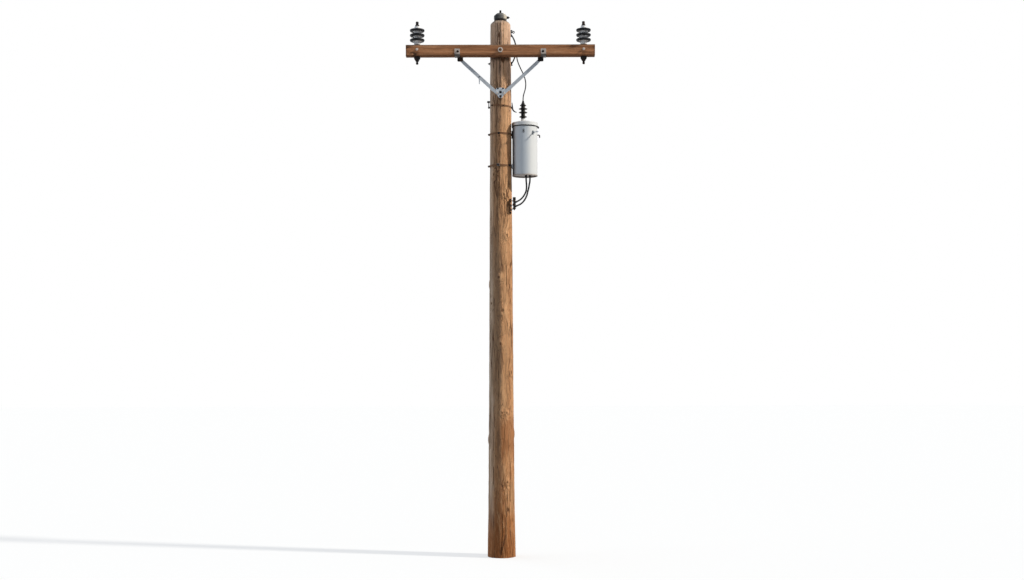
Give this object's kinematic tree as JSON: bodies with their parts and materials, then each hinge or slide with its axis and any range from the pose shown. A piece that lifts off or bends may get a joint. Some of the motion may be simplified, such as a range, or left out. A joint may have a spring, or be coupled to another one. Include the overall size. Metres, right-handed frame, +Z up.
{
  "type": "utility pole",
  "caption": "Tapered round wooden utility pole with a braced timber crossarm, pin insulators, a pole-top insulator and a pole-mounted cylindrical transformer with its leads.",
  "frame": {"origin": "centre of the pole's flat face at ground level", "axes": "+Z up the pole, +X along the crossarm towards the transformer, -Y the side that carries the crossarm"},
  "size_m": [3.437, 0.6325, 9.956],
  "materials": {
    "pole_wood": "weathered round timber with rough grain and drying checks",
    "arm_wood": "weathered sawn timber",
    "galvanised_steel": "dull hot-dip galvanising",
    "dark_steel": "dark rusted steel",
    "dark_glaze": "dark glossy glaze",
    "grey_glaze": "grey glaze",
    "tank_paint": "light grey semi-gloss paint",
    "lead_jacket": "black weathered jacket",
    "black_fitting": "black moulded fitting"
  },
  "bodies": {
    "root": {"pole": "pole_wood", "crossarm": "arm_wood", "brace_left": "galvanised_steel", "brace_right": "galvanised_steel", "brace_foot_plate": "galvanised_steel", "brace_clip_left": "galvanised_steel", "brace_clip_right": "galvanised_steel", "brace_clevis_left": "dark_steel", "brace_clevis_right": "dark_steel", "left_pin": "galvanised_steel", "left_pin_nut": "dark_steel", "left_insulator": "dark_glaze", "left_stud": "dark_steel", "right_pin": "galvanised_steel", "right_pin_nut": "dark_steel", "right_insulator": "dark_glaze", "right_stud": "dark_steel", "top_ring": "dark_steel", "top_bell": "grey_glaze", "top_stud": "galvanised_steel", "top_clamp": "dark_steel", "jumper_bar": "dark_steel", "jumper_clamp": "dark_steel", "deadend_eye": "dark_steel", "upper_band": "dark_steel", "upper_hanger_band": "dark_steel", "lower_hanger_band": "dark_steel", "side_bracket": "dark_steel", "strap_tail": "dark_steel", "upper_hanger": "dark_steel", "lower_hanger": "dark_steel", "tank": "tank_paint", "lid": "tank_paint", "clamp_ring": "dark_steel", "ring_latch": "dark_steel", "bushing_flange": "tank_paint", "bushing": "dark_glaze", "bushing_terminal": "dark_steel", "lift_hook": "dark_steel", "tank_bosses": "tank_paint", "glands": "black_fitting", "rack_plate": "dark_steel", "rack_pin": "dark_steel", "spools": "black_fitting", "ferrules": "black_fitting", "drop_lead": "lead_jacket", "inner_lead": "lead_jacket", "outer_lead": "lead_jacket"}
  },
  "joints": []
}
